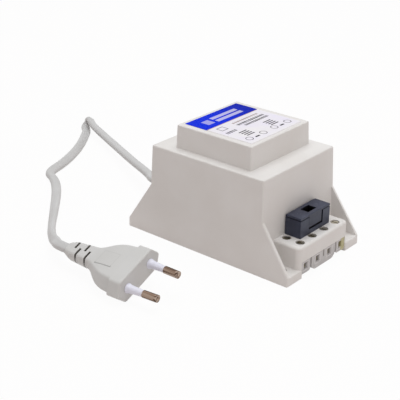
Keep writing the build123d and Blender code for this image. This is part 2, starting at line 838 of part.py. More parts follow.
# Strain relief boot: an inner collar, a neck through the wall and a grooved taper outside
boot_wall = rear_wall(boot_axis_height)
boot_tip = boot_wall - boot_length
boot_pitch = boot_length / (boot_groove_count + 1)
with BuildPart() as cord_boot:
    with BuildSketch(Plane(origin=(0, 0, boot_axis_height), x_dir=(1, 0, 0), z_dir=(0, -1, 0))):
        with BuildLine():
            Polyline(
                (boot_tip, 0),
                (boot_tip, boot_tip_radius),
                (boot_wall - boot_gap, boot_base_radius),
                (boot_wall - boot_gap, boot_neck_radius),
                (boot_wall + wall + boot_gap, boot_neck_radius),
                (boot_wall + wall + boot_gap, boot_collar_radius),
                (boot_inner, boot_collar_radius),
                (boot_inner, 0),
                close=True,
            )
        make_face()
        for index in range(boot_groove_count):
            share = (index + 0.8) / boot_groove_count
            groove_radius = boot_tip_radius + share * (boot_base_radius - boot_tip_radius)
            with Locations((boot_tip + share * boot_length - boot_pitch / 2, groove_radius)):
                Rectangle(boot_groove_width, 2 * boot_groove_depth, mode=Mode.SUBTRACT)
    revolve(axis=Axis((0, 0, boot_axis_height), (1, 0, 0)))
write(cord_boot.part, "cord_boot")

# Plug: its frame has X across the pins, Y through its thickness and Z along the pins
yaw = radians(plug_yaw)
roll = radians(plug_roll)
pin_direction = Vector(cos(yaw), sin(yaw), 0)
across = Vector(-sin(yaw) * cos(roll), cos(yaw) * cos(roll), sin(roll))
half_turn = atan2(plug_thickness, plug_width - plug_flat) / 2
edge_lift = plug_edge_radius * (cos(half_turn - roll) / cos(half_turn) - 1)
plug_face_z = plug_flat / 2 * sin(roll) + plug_thickness / 2 * cos(roll) - edge_lift
plug_face = Plane(origin=(plug_face_x, plug_face_y, plug_face_z), x_dir=across, z_dir=pin_direction)


def pin_plane(side):
    """Plane at the foot of one pin, leaning towards the other pin."""
    foot = plug_face.from_local_coords(Vector(side * pin_spacing_base / 2, 0, 0))
    tip = plug_face.from_local_coords(Vector(side * pin_spacing_tip / 2, 0, pin_length))
    return Plane(origin=foot, x_dir=across, z_dir=tip - foot)


def plug_section(width, flat, thickness):
    """Outline across the plug: flat top and bottom, sides bevelled to a rounded point."""
    with BuildSketch() as section:
        with BuildLine():
            Polyline(
                (flat / 2, thickness / 2),
                (width / 2, 0),
                (flat / 2, -thickness / 2),
                (-flat / 2, -thickness / 2),
                (-width / 2, 0),
                (-flat / 2, thickness / 2),
                close=True,
            )
        make_face()
        fillet(section.vertices(), radius=min(plug_edge_radius, plug_edge_share * thickness))
    return section.sketch


grip_outlines = [plug_section(*sizes) for distance, *sizes in plug_grip_sections]
shoulder_outline = plug_section(*relief_shoulder_size)
relief_outline = plug_section(*relief_end_size)
face_outline = plug_section(plug_width, plug_flat, plug_thickness)
with BuildPart() as plug_body:
    # Face block
    with BuildSketch(plug_face):
        add(face_outline)
    extrude(amount=-plug_flange_length)
    fillet(plug_body.faces().sort_by_distance(plug_face.origin)[0].edges(), radius=plug_face_radius)
    # Grip that narrows to the cord
    for (distance, *sizes), outline in zip(plug_grip_sections, grip_outlines):
        with BuildSketch(plug_face.offset(-distance)):
            add(outline)
    loft()
    # Strain relief
    with BuildSketch(plug_face.offset(-plug_grip_sections[-1][0])):
        add(grip_outlines[-1])
    with BuildSketch(plug_face.offset(relief_taper - relief_end)):
        add(shoulder_outline)
    with BuildSketch(plug_face.offset(-relief_end)):
        add(relief_outline)
    loft(ruled=True)
    # Slots cut in from each side in turn, down to the cord's sheath
    for side, slots in ((1, relief_far_slots), (-1, relief_near_slots)):
        for slot in slots:
            with BuildSketch(plug_face.offset(-slot - relief_slot_width / 2)):
                with Locations((-side * relief_slot_overlap, 0)):
                    Rectangle(
                        plug_width,
                        plug_thickness,
                        align=(Align.MIN if side > 0 else Align.MAX, Align.CENTER),
                    )
                RectangleRounded(
                    relief_core_width,
                    relief_core_height,
                    relief_core_height / 2 - clip_gap,
                    mode=Mode.SUBTRACT,
                )
            extrude(amount=relief_slot_width, mode=Mode.SUBTRACT)
    # Sockets for the pins
    for side in (-1, 1):
        with BuildSketch(pin_plane(side)):
            Circle(sleeve_bore / 2)
        extrude(amount=pin_root, both=True, mode=Mode.SUBTRACT)
write(plug_body.part, "plug_body")

with BuildPart() as plug_pins:
    for side in (-1, 1):
        plane = pin_plane(side)
        profile_plane = Plane(origin=plane.origin, x_dir=plane.z_dir, z_dir=plane.y_dir)
        with BuildSketch(profile_plane) as pin_profile:
            with BuildLine():
                Polyline(
                    (-pin_root, 0),
                    (-pin_root, sleeve_bore / 2),
                    (sleeve_length, sleeve_bore / 2),
                    (sleeve_length, pin_diameter / 2),
                    (pin_length, pin_diameter / 2),
                    (pin_length, 0),
                    close=True,
                )
            make_face()
            tip_corner = pin_profile.vertices().sort_by_distance(
                profile_plane.from_local_coords(Vector(pin_length, pin_diameter / 2, 0))
            )[0]
            fillet(tip_corner, radius=pin_tip_radius)
        revolve(axis=Axis(plane.origin, plane.z_dir))
write(plug_pins.part, "plug_pins")

with BuildPart() as pin_sleeves:
    for side in (-1, 1):
        plane = pin_plane(side)
        with BuildSketch(Plane(origin=plane.origin, x_dir=plane.z_dir, z_dir=plane.y_dir)):
            with BuildLine():
                Polyline(
                    (sleeve_foot_gap, sleeve_bore / 2),
                    (sleeve_foot_gap, sleeve_bore / 2 + sleeve_foot_wall),
                    (sleeve_foot_length, sleeve_bore / 2 + sleeve_base_wall),
                    (sleeve_length, sleeve_bore / 2 + sleeve_end_wall),
                    (sleeve_length, sleeve_bore / 2),
                    close=True,
                )
            make_face()
        revolve(axis=Axis(plane.origin, plane.z_dir))
write(pin_sleeves.part, "pin_sleeves")

# Cord: down from the boot to the floor, back round a hairpin, then along the floor to the plug
cord_end = plug_face.from_local_coords(Vector(0, 0, -relief_end))
cord_lead_in = plug_face.from_local_coords(Vector(0, 0, -relief_end - cord_last_run))
cord_route = [
    (boot_tip, 0, boot_axis_height),
    (-68.0, 0, boot_axis_height),
    (-79.0, 7.4, 12.3),
    (-105.8, 21.9, 9.0),
    (-137.2, 39.1, 5.5),
    (-161.8, 52.2, 2.9),
    (-177.7, 60.4, cord_radius),
    (-186.9, 66.5, cord_radius),
    (-190.8, 61.4, cord_radius),
    (-184.2, 54.0, cord_radius),
    (-174.5, 45.2, cord_radius),
    (-165.5, 33.4, cord_radius),
    (-156.5, 18.0, cord_radius),
    (-149.4, 2.8, cord_radius),
    (-143.9, -14.0, cord_radius),
    (-133.2, -20.2, cord_radius),
    (-119.5, -31.8, cord_radius),
    (-97.2, -54.4, 2.4),
    (-79.2, -71.8, 3.4),
    (-69.3, -81.0, 6.0),
    (-61.0, -87.0, 8.9),
    tuple(cord_lead_in),
    tuple(cord_end),
]


def corner_radii(points):
    """Radius at each inner point: the largest that the shorter of its two runs leaves room for."""
    radii = []
    for before, point, after in zip(points, points[1:], points[2:]):
        run_in = Vector(*point) - Vector(*before)
        run_out = Vector(*after) - Vector(*point)
        turn = radians(run_in.get_angle(run_out))
        radii.append(cord_corner_share * min(run_in.length, run_out.length) / tan(turn / 2))
    return radii


cord_radii = corner_radii(cord_route)
with BuildPart() as cord:
    with BuildLine() as cord_path:
        FilletPolyline(*cord_route, radius=cord_radii)
    with BuildSketch(Plane(origin=cord_route[0], z_dir=(-1, 0, 0))):
        Circle(cord_radius)
    sweep()
write(cord.part, "cord")

cord_length = sum(edge.length for edge in cord_path.edges())
print("cord length", round(cord_length, 1), "radii", [round(radius, 1) for radius in cord_radii])
cord_share = cord.part.volume / (pi * cord_radius**2 * cord_length)
print("cord volume over section times length", round(cord_share, 4))
print("casing", round(2 * half_length, 1), round(2 * base_half_width, 1), round(step_top, 1))
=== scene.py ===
import logging
import math
from dataclasses import dataclass, field
from enum import Enum
from functools import cache, reduce
from operator import or_
from typing import Any, Sequence

import bmesh
import bpy
from mathutils import Matrix, Vector


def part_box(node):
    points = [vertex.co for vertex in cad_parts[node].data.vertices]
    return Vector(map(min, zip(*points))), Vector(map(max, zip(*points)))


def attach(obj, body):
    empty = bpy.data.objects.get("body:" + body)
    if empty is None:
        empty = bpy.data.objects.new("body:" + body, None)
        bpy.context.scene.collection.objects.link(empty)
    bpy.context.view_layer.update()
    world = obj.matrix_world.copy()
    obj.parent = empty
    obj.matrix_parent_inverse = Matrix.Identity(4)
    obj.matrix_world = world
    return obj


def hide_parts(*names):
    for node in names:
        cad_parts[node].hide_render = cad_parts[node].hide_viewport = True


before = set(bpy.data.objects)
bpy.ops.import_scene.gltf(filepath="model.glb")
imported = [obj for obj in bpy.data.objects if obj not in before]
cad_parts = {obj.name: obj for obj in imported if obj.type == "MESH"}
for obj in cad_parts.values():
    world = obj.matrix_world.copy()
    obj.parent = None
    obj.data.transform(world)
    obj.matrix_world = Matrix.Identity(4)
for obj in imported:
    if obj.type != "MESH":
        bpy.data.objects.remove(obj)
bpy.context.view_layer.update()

Colour = tuple[float, float, float]
Box = tuple[tuple[float, float], tuple[float, float]]
Row = tuple[Box, float, float]
Settings = dict[str, Any]
Sockets = dict[Any, Any]

BODY = "transformer"
MM = 0.001
# Cloudy noise lies around this value.
MIDDLE = 0.5
WHITE: Colour = (1.0, 1.0, 1.0)

log = logging.getLogger("transformer")


def srgb(red: float, green: float, blue: float) -> Colour:
    """Give the linear colour of a screen colour whose parts run from 0 to 255."""
    parts = [part / 255 for part in (red, green, blue)]
    return tuple(part / 12.92 if part <= 0.04045 else ((part + 0.055) / 1.055) ** 2.4 for part in parts)


class Number:
    """A number that varies over a surface: a socket, with operators that add Math nodes."""

    def __init__(self, nodes: "Nodes", socket: bpy.types.NodeSocket) -> None:
        """Keep the socket and the nodes that it belongs to."""
        self.nodes = nodes
        self.socket = socket

    def _math(self, operation: str, *terms: Any) -> "Number":
        """Add one Math node over the terms."""
        return self.nodes.number("ShaderNodeMath", {"operation": operation}, dict(enumerate(terms)))

    def __add__(self, other: Any) -> "Number":
        """Add a number."""
        return self._math("ADD", self, other)

    __radd__ = __add__

    def __sub__(self, other: Any) -> "Number":
        """Take a number away."""
        return self._math("SUBTRACT", self, other)

    def __rsub__(self, other: Any) -> "Number":
        """Take this from a number."""
        return self._math("SUBTRACT", other, self)

    def __mul__(self, other: Any) -> "Number":
        """Multiply by a number."""
        return self._math("MULTIPLY", self, other)

    __rmul__ = __mul__

    def __truediv__(self, other: Any) -> "Number":
        """Divide by a number."""
        return self._math("DIVIDE", self, other)

    def __abs__(self) -> "Number":
        """Drop the sign."""
        return self._math("ABSOLUTE", self)

    def __or__(self, other: Any) -> "Number":
        """Join two masks: the larger of the two."""
        return self._math("MAXIMUM", self, other)

    def __and__(self, other: Any) -> "Number":
        """Cross two masks: the smaller of the two."""
        return self._math("MINIMUM", self, other)

    def sine(self) -> "Number":
        """Give the sine."""
        return self._math("SINE", self)

    def floor(self) -> "Number":
        """Give the whole number below."""
        return self._math("FLOOR", self)

    def root(self) -> "Number":
        """Give the square root."""
        return self._math("SQRT", self)

    def ripple(self, pitch: float) -> "Number":
        """Give a wave from -1 to 1 that repeats at the pitch."""
        return (self * (2 * math.pi / pitch)).sine()

    def cell(self, pitch: float) -> "Number":
        """Give the number of the cell that holds this, for cells as wide as the pitch."""
        return (self / pitch).floor()

    def over(self, edge: float, soft: float) -> "Number":
        """Give 1 over the edge and 0 under it.

        Args:
            edge: Where the change is.
            soft: Half the width of the change.

        Returns:
            The mask.
        """
        return self.nodes.number(
            "ShaderNodeMapRange",
            {"interpolation_type": "SMOOTHSTEP"},
            {"Value": self, "From Min": edge - soft, "From Max": edge + soft},
        )

    def under(self, edge: float, soft: float) -> "Number":
        """Give 1 under the edge and 0 over it, soft either side of it."""
        return 1 - self.over(edge, soft)

    def between(self, low: float, high: float, soft: float) -> "Number":
        """Give 1 from the low edge to the high one and 0 outside, soft either side of each."""
        return abs(self - (low + high) / 2).under((high - low) / 2, soft)


class Nodes:
    """A tree of shader nodes, of a material or of the world."""

    def __init__(self, tree: bpy.types.NodeTree) -> None:
        """Start with an empty tree."""
        self.tree = tree
        tree.nodes.clear()

    def node(
        self, kind: str, settings: Settings | None = None, sockets: Sockets | None = None
    ) -> bpy.types.Node:
        """Add a node.

        Args:
            kind: The node's type.
            settings: Its own settings, which are set first.
            sockets: Values, numbers or sockets for its inputs, by name or place.

        Returns:
            The node.
        """
        made = self.tree.nodes.new(kind)
        for name, value in (settings or {}).items():
            setattr(made, name, value)
        for key, value in (sockets or {}).items():
            source = value.socket if isinstance(value, Number) else value
            if isinstance(source, bpy.types.NodeSocket):
                self.tree.links.new(source, made.inputs[key])
            else:
                wide = isinstance(source, tuple) and made.inputs[key].type == "RGBA"
                made.inputs[key].default_value = (*source[:3], 1.0) if wide else source
        return made

    def number(
        self,
        kind: str,
        settings: Settings | None = None,
        sockets: Sockets | None = None,
        output: int | str = 0,
    ) -> Number:
        """Add a node and give one of its outputs as a number.

        Args:
            kind: The node's type.
            settings: Its own settings.
            sockets: What feeds its inputs.
            output: Which output to give.

        Returns:
            The number.
        """
        return Number(self, self.node(kind, settings, sockets).outputs[output])

    def seen(self) -> Number:
        """Tell what the camera sees, straight or by way of gloss or glass.

        Returns:
            1 on rays from the camera and 0 on the others.
        """
        path = self.node("ShaderNodeLightPath")
        names = ("Is Camera Ray", "Is Glossy Ray", "Is Transmission Ray")
        straight, gloss, glass = (Number(self, path.outputs[name]) for name in names)
        return straight | gloss | glass


class Paint(Nodes):
    """A material in the making: its nodes and the shader that ends them."""

    def __init__(self, name: str) -> None:
        """Start a material with nothing but an output and the object's own coordinates.

        Args:
            name: The material's name.
        """
        self.material = bpy.data.materials.new(name)
        self.material.use_nodes = True
        super().__init__(self.material.node_tree)
        self.output = self.node("ShaderNodeOutputMaterial")
        self.place = self.node("ShaderNodeTexCoord").outputs["Object"]

    def axes(self, place: bpy.types.NodeSocket | None = None) -> tuple[Number, Number, Number]:
        """Give the three coordinates of a place, or of the object's own place."""
        split = self.node("ShaderNodeSeparateXYZ", None, {0: place or self.place})
        return tuple(Number(self, socket) for socket in split.outputs)

    def turned(self, origin: Sequence[float], turn: Sequence[float]) -> bpy.types.NodeSocket:
        """Give the place seen from a frame.

        Args:
            origin: The frame's origin.
            turn: The frame's Euler angles.

        Returns:
            The socket of the place in that frame.
        """
        mapping = self.node(
            "ShaderNodeMapping",
            {"vector_type": "TEXTURE"},
            {"Vector": self.place, "Location": tuple(origin), "Rotation": tuple(turn)},
        )
        return mapping.outputs[0]

    def noise(
        self,
        size: float,
        detail: float = 2.0,
        stretch: Sequence[float] = (1, 1, 1),
        place: bpy.types.NodeSocket | None = None,
    ) -> Number:
        """Give cloudy noise.

        Args:
            size: The size of a cloud in metres.
            detail: How many finer layers it has.
            stretch: How much longer the clouds are along each axis.
            place: The place to read, or the object's own.

        Returns:
            The noise, around its MIDDLE.
        """
        scale = tuple(1 / (size * part) for part in stretch)
        spread = self.node(
            "ShaderNodeVectorMath", {"operation": "MULTIPLY"}, {0: place or self.place, 1: scale}
        )
        return self.number(
            "ShaderNodeTexNoise", None, {"Vector": spread.outputs[0], "Scale": 1.0, "Detail": detail}
        )

    def chance(self, value: Number) -> Number:
        """Give a fixed random number from 0 to 1 for each whole value."""
        return self.number("ShaderNodeTexWhiteNoise", {"noise_dimensions": "1D"}, {"W": value})

    def mix(self, share: Any, low: Any, high: Any) -> bpy.types.NodeSocket:
        """Blend two colours, from the low one at a share of 0 to the high one at 1."""
        return self.node("ShaderNodeMix", {"data_type": "RGBA"}, {0: share, 6: low, 7: high}).outputs[2]

    def relief(self, height: Number) -> bpy.types.NodeSocket:
        """Give the normal of a surface that is raised by a height in metres."""
        return self.node("ShaderNodeBump", None, {"Distance": 1.0, "Height": height}).outputs[0]

    def end(self, shader: bpy.types.Node) -> bpy.types.Material:
        """Link the last shader to the output and give the material."""
        self.tree.links.new(shader.outputs[0], self.output.inputs["Surface"])
        return self.material

    def close(self, sockets: Sockets) -> bpy.types.Material:
        """End the nodes with the plain surface shader and give the material."""
        return self.end(self.node("ShaderNodeBsdfPrincipled", None, sockets))


class Grain(Enum):
    """How the surface of a moulding was left by its tool: grain size and depth in metres."""

    POLISHED = (0.0030, 0.000004)
    SATIN = (0.0012, 0.000010)
    ERODED = (0.0009, 0.000030)


@dataclass(frozen=True)
class PlugPlace:
    """How the plug lies: the middle of its face, its turn on the floor and its roll."""

    face: tuple[float, float, float] = (3.3 * MM, -87.3 * MM, 10.63 * MM)
    yaw: float = math.radians(3.6)
    roll: float = math.radians(19.7)

    def place(self, paint: Paint) -> bpy.types.NodeSocket:
        """Give the place across, above and along the plug, from the middle of its face.

        Args:
            paint: The paint to add to.

        Returns:
            The socket of that place.
        """
        lying = Matrix(((0, 0, 1), (1, 0, 0), (0, 1, 0)))
        turn = Matrix.Rotation(self.yaw, 3, "Z") @ lying @ Matrix.Rotation(self.roll, 3, "Z")
        return paint.turned(self.face, turn.to_euler())


@dataclass(frozen=True)
class Moulding:
    """Moulded plastic: flow clouds in its colour, a grain and a few handling marks."""

    name: str
    colour: Colour
    cloud: Colour
    roughness: float
    grain: Grain = Grain.SATIN
    cloud_size: float = 0.022
    specular: float = 0.4
    cloud_soft: float = 0.28
    grain_rough: float = 0.12
    mark_scale: float = 5.0
    mark_stretch: tuple[float, float, float] = (6, 1, 1)
    mark_from: float = 0.68
    mark_soft: float = 0.05
    mark_rough: float = 0.05

    def tint(self, paint: Paint, colour: bpy.types.NodeSocket) -> bpy.types.NodeSocket:
        """Give the colour with the piece's own marks on it."""
        return colour

    def form(self, paint: Paint) -> Number | float:
        """Give the height of the piece's own low relief in metres."""
        return 0.0

    def make(self) -> bpy.types.Material:
        """Make the finish.

        Returns:
            The material.
        """
        size, depth = self.grain.value
        paint = Paint(self.name)
        clouds = paint.noise(self.cloud_size, 3).over(MIDDLE, self.cloud_soft)
        grain = paint.noise(size, 2)
        scratches = paint.noise(size * self.mark_scale, 1, self.mark_stretch)
        marks = scratches.over(self.mark_from, self.mark_soft)
        rough = self.roughness + (grain - MIDDLE) * self.grain_rough + marks * self.mark_rough
        return paint.close(
            {
                "Base Color": self.tint(paint, paint.mix(clouds, self.colour, self.cloud)),
                "Roughness": rough,
                "Normal": paint.relief(grain * depth + self.form(paint)),
                "Specular IOR Level": self.specular,
            }
        )


@dataclass(frozen=True)
class PlugMoulding(Moulding):
    """The plug's plastic: a sunk outline of a plain panel on its upper side with painted shade in it, and
    painted shade in its slots.
    """

    lie: PlugPlace = PlugPlace()
    # Colour of the painted shade in the panel's outline.
    groove_shade: Colour = srgb(158, 158, 156)
    panel_low: tuple[float, float] = (-5.8 * MM, -23.8 * MM)
    panel_high: tuple[float, float] = (3.9 * MM, -12.6 * MM)
    line: float = 0.55 * MM
    near_line: float = 1.0 * MM
    soft: float = 0.2 * MM
    depth: float = 0.12 * MM
    faint: float = 0.14
    slot_shade: Colour = srgb(104, 99, 92)
    slot_half: float = 0.68 * MM
    slot_soft: float = 0.06 * MM
    slot_floor: float = 0.9 * MM
    slot_fade: float = 1.0 * MM
    slot_overlap: float = 0.4 * MM
    far_slots: tuple[float, ...] = (41.7 * MM, 34.9 * MM)
    near_slots: tuple[float, ...] = (38.3 * MM, 31.5 * MM)

    def slots(self, paint: Paint) -> Number:
        """Find the inside of the slots in the strain relief, where shade is painted.

        Args:
            paint: The paint to add to.

        Returns:
            The mask.
        """
        across, above, along = paint.axes(self.lie.place(paint))
        far, near = across.over(-self.slot_overlap, self.soft), across.under(self.slot_overlap, self.soft)
        inside = []
        for side, places in ((far, self.far_slots), (near, self.near_slots)):
            for place in places:
                low, high = -place - self.slot_half, self.slot_half - place
                inside.append(side & along.between(low, high, self.slot_soft))
        return reduce(or_, inside) * above.over(self.slot_floor, self.slot_fade)

    def outline(self, paint: Paint) -> Number:
        """Find the panel's outline, deep and with strong painted shade along its near side, faint along the
        others.

        Args:
            paint: The paint to add to.

        Returns:
            The mask.
        """
        across, above, along = paint.axes(self.lie.place(paint))
        whole, inside = (
            across.between(self.panel_low[0] + inset, self.panel_high[0] - inset, self.soft)
            & along.between(self.panel_low[1] + inset, self.panel_high[1] - inset, self.soft)
            for inset in (0.0, self.line)
        )
        near = across.under(self.panel_low[0] + self.near_line, self.soft)
        weight = self.faint + (1 - self.faint) * near
        return (whole - inside) * weight * above.over(0.0, self.soft)

    def tint(self, paint: Paint, colour: bpy.types.NodeSocket) -> bpy.types.NodeSocket:
        """Paint shade into the outline and the slots."""
        outlined = paint.mix(self.outline(paint), colour, self.groove_shade)
        return paint.mix(self.slots(paint), outlined, self.slot_shade)

    def form(self, paint: Paint) -> Number:
        """Sink the outline."""
        return self.outline(paint) * -self.depth


@dataclass(frozen=True)
class TerminalMoulding(Moulding):
    """The terminals' plastic: raised rims round the ports with a painted highlight on them, painted shade in
    the groove between the middle poles, and a yellowish far end.
    """

    # The rim colour is a painted highlight; the shade colour is painted shade in the groove between the
    # middle poles.
    rim: Colour = srgb(226, 224, 224)
    shade: Colour = srgb(120, 114, 110)
    far_tint: Colour = srgb(198, 192, 150)
    pitch: float = 10.8 * MM
    port_height: float = 5.6 * MM
    rim_half: tuple[float, float] = (3.0 * MM, 2.7 * MM)
    rim_width: float = 0.65 * MM
    rim_rise: float = 0.25 * MM
    face: float = 54.6 * MM
    far_tint_from: float = 16.6 * MM
    far_tint_soft: float = 0.8 * MM
    groove_half: float = 0.55 * MM
    groove_foot: float = 4.8 * MM
    groove_soft: float = 0.4 * MM
    soft: float = 0.15 * MM

    def rims(self, paint: Paint) -> Number:
        """Find the rims round the wire ports, which get a painted highlight.

        Args:
            paint: The paint to add to.

        Returns:
            The mask.
        """
        along, across, up = paint.axes()
        side = abs(abs(abs(across) - self.pitch) - self.pitch / 2)
        rise = abs(up - self.port_height)
        outer, inside_shade = (
            side.under(self.rim_half[0] - inset, self.soft) & rise.under(self.rim_half[1] - inset, self.soft)
            for inset in (0.0, self.rim_width)
        )
        return (outer - inside_shade) * along.over(self.face, self.soft)

    def tint(self, paint: Paint, colour: bpy.types.NodeSocket) -> bpy.types.NodeSocket:
        """Paint highlight on the rims, paint shade in the groove and turn the far end yellowish.

        Args:
            paint: The paint to add to.
            colour: The plastic's own colour.

        Returns:
            The colour with these marks.
        """
        along, across, up = paint.axes()
        far_tint = across.over(self.far_tint_from, self.far_tint_soft)
        # The groove between the middle poles gets painted shade; the block is whole there.
        groove_shade = abs(across).under(self.groove_half, self.soft) & up.over(self.groove_foot, self.groove_soft)
        ended = paint.mix(far_tint, colour, self.far_tint)
        groove_shaded = paint.mix(groove_shade * along.over(self.face, self.soft), ended, self.shade)
        # The rims get a painted highlight, lighter than the plastic.
        return paint.mix(self.rims(paint) * (1 - far_tint), groove_shaded, self.rim)

    def form(self, paint: Paint) -> Number:
        """Raise the rims."""
        return self.rims(paint) * self.rim_rise


@dataclass(frozen=True)
class HolderMoulding(Moulding):
    """The fuse holder's black plastic: painted shade on its inside surfaces and two round gate marks on top
    of its cover.
    """

    inside_shade: Colour = srgb(16, 16, 20)
    skin: float = 0.3 * MM
    gates: tuple[float, float] = (44.0 * MM, 8.1 * MM)
    gate_bore: float = 0.6 * MM
    gate_radius: float = 1.0 * MM
    gate_soft: float = 0.15 * MM
    gate_depth: float = 0.12 * MM
    gate_level: float = 29.0 * MM
    level_soft: float = 0.1 * MM

    def tint(self, paint: Paint, colour: bpy.types.NodeSocket) -> bpy.types.NodeSocket:
        """Paint shade on the holder's inside surfaces, darker than its black plastic.

        Args:
            paint: The paint to add to.
            colour: The plastic's own colour.

        Returns:
            The colour with painted shade inside.
        """
        low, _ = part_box("fuse_base")
        _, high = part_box("fuse_cover")
        soft = self.skin / 3
        along, across, up = paint.axes()
        inside = along.between(low[0] + self.skin, high[0] - self.skin, soft)
        inside = inside & across.between(low[1] + self.skin, -low[1] - self.skin, soft)
        # The inside surfaces get painted shade: a near-black where the holder's shell shades them.
        return paint.mix(inside & up.under(high[2] - self.skin, soft), colour, self.inside_shade)

    def form(self, paint: Paint) -> Number:
        """Sink the rings of the gate marks.

        Args:
            paint: The paint to add to.

        Returns:
            The height of the relief in metres.
        """
        along, across, up = paint.axes()
        one, two = along - self.gates[0], abs(across) - self.gates[1]
        reach = (one * one + two * two).root()
        ring = reach.between(self.gate_bore, self.gate_radius, self.gate_soft)
        return (ring & up.over(self.gate_level, self.level_soft)) * -self.gate_depth


@dataclass(frozen=True)
class Metal:
    """Bare or plated metal with fine tool lines and a little tarnish."""

    name: str
    colour: Colour
    tarnish: Colour
    roughness: float
    line_size: float = 0.0004
    line_stretch: tuple[float, float, float] = (1, 12, 1)
    line_rough: float = 0.2
    line_depth: float = 0.000006
    stain_size: float = 0.004
    stain_from: float = 0.56
    stain_soft: float = 0.16
    stain_rough: float = 0.1

    def make(self) -> bpy.types.Material:
        """Make the finish.

        Returns:
            The material.
        """
        paint = Paint(self.name)
        lines = paint.noise(self.line_size, 1, self.line_stretch)
        stains = paint.noise(self.stain_size, 3).over(self.stain_from, self.stain_soft)
        return paint.close(
            {
                "Base Color": paint.mix(stains, self.colour, self.tarnish),
                "Metallic": 1.0,
                "Roughness": self.roughness + (lines - MIDDLE) * self.line_rough + stains * self.stain_rough,
                "Normal": paint.relief(lines * self.line_depth),
            }
        )


@dataclass(frozen=True)
class PlatedPin:
    """Plating on the plug's pins: streaks along each pin, tool lines in relief and painted reflection plus
    tarnish in colour, and a painted highlight and dark painted reflections at the tip.
    """

    name: str
    colour: Colour
    tarnish_and_dark_reflection: Colour
    painted_highlight: Colour
    roughness: float
    lie: PlugPlace = PlugPlace()
    tip: float = 17.4 * MM
    tip_soft: float = 0.4 * MM
    streak_size: float = 0.0011
    streak_stretch: tuple[float, float, float] = (1, 1, 30)
    streak_depth: float = 0.00002
    highlight_under: float = 0.38
    highlight_share: float = 0.5
    dark_streak_over: float = 0.56
    dark_streak_share: float = 0.7
    patch_soft: float = 0.06
    scuff_size: float = 0.0016
    scuff_rough: float = 0.15
    tip_highlight_soft: float = 0.1
    tip_reflection_under: float = 0.4

    def make(self) -> bpy.types.Material:
        """Make the finish.

        Returns:
            The material.
        """
        paint = Paint(self.name)
        place = self.lie.place(paint)
        along = paint.axes(place)[2]
        streaks = paint.noise(self.streak_size, 1, self.streak_stretch, place)
        scuffs_and_glints = paint.noise(self.scuff_size, 2, place=place)
        # The light streaks of colour are painted reflection. The dark ones are tarnish and painted
        # reflection. The streaks' relief is the tool lines.
        painted_highlight = streaks.under(self.highlight_under, self.patch_soft) * self.highlight_share
        tarnish_and_dark_reflection = streaks.over(self.dark_streak_over, self.patch_soft) * self.dark_streak_share
        tip = along.over(self.tip, self.tip_soft)
        colour = paint.mix(painted_highlight, self.colour, self.painted_highlight)
        colour = paint.mix(tarnish_and_dark_reflection, colour, self.tarnish_and_dark_reflection)
        # The tip gets a painted highlight and dark painted reflections; the same noise adds scuffs to the
        # roughness.
        colour = paint.mix(tip * scuffs_and_glints.over(MIDDLE, self.tip_highlight_soft), colour, self.painted_highlight)
        colour = paint.mix(tip * scuffs_and_glints.under(self.tip_reflection_under, self.patch_soft), colour, self.tarnish_and_dark_reflection)
        return paint.close(
            {
                "Base Color": colour,
                "Metallic": 1.0,
                "Roughness": self.roughness + scuffs_and_glints * self.scuff_rough,
                "Normal": paint.relief(streaks * self.streak_depth),
            }
        )


@dataclass(frozen=True)
class Layers:
    """A stack of thin layers along one axis: laminations, turns of wire or wraps of tape."""

    name: str
    colour: Colour
    gap: Colour
    axis: int
    pitch: float
    roughness: float
    metallic: float
    depth: float
    gap_level: float = -0.55
    gap_soft: float = 0.3
    own_share: float = 0.3
    stain_size: float = 0.006
    stain_share: float = 0.2
    stain_rough: float = 0.15

    def make(self) -> bpy.types.Material:
        """Make the finish.

        Returns:
            The material.
        """
        paint = Paint(self.name)
        along = paint.axes()[self.axis]
        wave = along.ripple(self.pitch)
        stains = paint.noise(self.stain_size, 3)
        own = paint.chance(along.cell(self.pitch))
        shade = wave.under(self.gap_level, self.gap_soft) | (own * self.own_share + stains * self.stain_share)
        return paint.close(
            {
                "Base Color": paint.mix(shade, self.colour, self.gap),
                "Metallic": self.metallic,
                "Roughness": self.roughness + stains * self.stain_rough,
                "Normal": paint.relief(wave * self.depth),
            }
        )


@dataclass(frozen=True)
class Poured:
    """Potting compound: a dull cast surface with bubbles and shallow waves."""

    name: str
    colour: Colour
    pale: Colour
    roughness: float = 0.42
    wave_size: float = 0.018
    wave_soft: float = 0.3
    wave_share: float = 0.8
    wave_rough: float = 0.2
    wave_height: float = 0.6
    bubbles_a_metre: float = 260.0
    group_from: float = 0.52
    group_soft: float = 0.05
    pit_size: float = 0.16
    pit_soft: float = 0.08
    pit_share: float = 0.2
    depth: float = 0.0002

    def make(self) -> bpy.types.Material:
        """Make the finish.

        Returns:
            The material.
        """
        paint = Paint(self.name)
        waves = paint.noise(self.wave_size, 2)
        spread = {"Vector": paint.place, "Scale": self.bubbles_a_metre}
        cells = paint.number("ShaderNodeTexVoronoi", None, spread)
        groups = paint.noise(self.wave_size / 2, 1).over(self.group_from, self.group_soft)
        pits = cells.under(self.pit_size, self.pit_soft) & groups
        share = waves.over(MIDDLE, self.wave_soft) * self.wave_share + pits * self.pit_share
        return paint.close(
            {
                "Base Color": paint.mix(share, self.colour, self.pale),
                "Roughness": self.roughness + waves * self.wave_rough,
                "Normal": paint.relief((waves * self.wave_height - pits) * self.depth),
            }
        )


